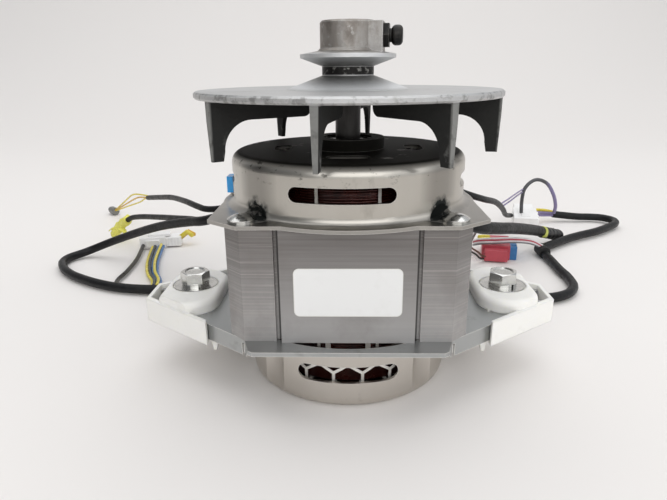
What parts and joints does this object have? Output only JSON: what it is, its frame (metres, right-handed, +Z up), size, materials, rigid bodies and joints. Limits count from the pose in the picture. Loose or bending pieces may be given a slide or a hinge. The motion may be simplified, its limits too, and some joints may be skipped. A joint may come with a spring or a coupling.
{
  "type": "washing machine motor",
  "caption": "Upright induction motor with a square laminated stator, pressed end bells, a winged mounting bracket on white isolator pads, a cast fan pulley and a loose wiring harness.",
  "frame": {"origin": "on the motor's axis, in the plane of the lower bell's flat bottom, which stands on the floor", "axes": "+Z up along the shaft towards the pulley, +X from the axis to one mounting bolt, +Y to the back where the leads leave"},
  "size_m": [0.5248, 0.3891, 0.1698],
  "materials": {
    "laminations": "sheared lamination edges",
    "paper": "matte slot paper",
    "copper": "enamelled copper wire",
    "bell_steel": "satin zinc plate",
    "bracket_steel": "bluish zinc plate",
    "zinc": "bright zinc plate",
    "label": "blank film",
    "bearing_steel": "ground",
    "shaft_steel": "ground",
    "cast_aluminium": "as cast, worn bright on edges",
    "black_steel": "black oxide",
    "nylon": "moulded nylon",
    "terminal_blue": "insulated terminal",
    "black_rubber": "matte",
    "black_sleeve": "vinyl sleeve",
    "yellow_tape": "vinyl tape",
    "grey_cap": "closed-end cap",
    "connector_white": "moulded housing",
    "blue_wire": "wire insulation",
    "purple_wire": "wire insulation",
    "pink_wire": "wire insulation",
    "connector_red": "moulded housing"
  },
  "bodies": {
    "stator": {"stator_core": "laminations", "slot_liners": "paper", "slot_coils": "copper", "upper_winding": "copper", "upper_turns": "copper", "lower_winding": "copper", "lower_turns": "copper", "upper_end_bell": "bell_steel", "lower_end_bell": "bell_steel", "mounting_bracket": "bracket_steel", "tie_bolts": "zinc", "tie_nuts": "zinc", "rating_label": "label", "upper_outer_race": "bearing_steel", "lower_outer_race": "bearing_steel", "preload_washer": "bearing_steel", "isolator_left": "nylon", "isolator_right": "nylon", "flat_washers": "zinc", "spring_washers": "zinc", "mounting_bolts": "zinc", "earth_tab": "bell_steel", "earth_terminal": "terminal_blue", "lead_grommets": "black_rubber", "main_lead": "black_sleeve", "branch_lead": "black_sleeve", "branch_tape": "yellow_tape", "splice_lead": "black_sleeve", "splice_cap": "grey_cap", "left_connector": "connector_white", "jumper_leads": "blue_wire", "sense_lead": "black_sleeve", "trunk_lead": "black_sleeve", "trunk_tape": "yellow_tape", "plug_lead": "black_sleeve", "right_connector": "connector_white", "return_lead": "black_sleeve", "loop_lead": "purple_wire", "lead_pair": "pink_wire", "right_splice": "black_rubber", "red_connector": "connector_red"},
    "rotor": {"shaft": "shaft_steel", "rotor_core": "laminations", "rotor_cage": "cast_aluminium", "fan_pulley": "cast_aluminium", "set_screw": "black_steel", "lock_nut": "black_steel", "upper_inner_race": "bearing_steel", "upper_balls": "bearing_steel", "lower_inner_race": "bearing_steel", "lower_balls": "bearing_steel"}
  },
  "joints": [
    {"name": "rotor_spin", "type": "hinge", "parent": "stator", "child": "rotor", "pos_m": [0, 0, 0], "axis": [0, 0, 1], "continuous": true}
  ]
}
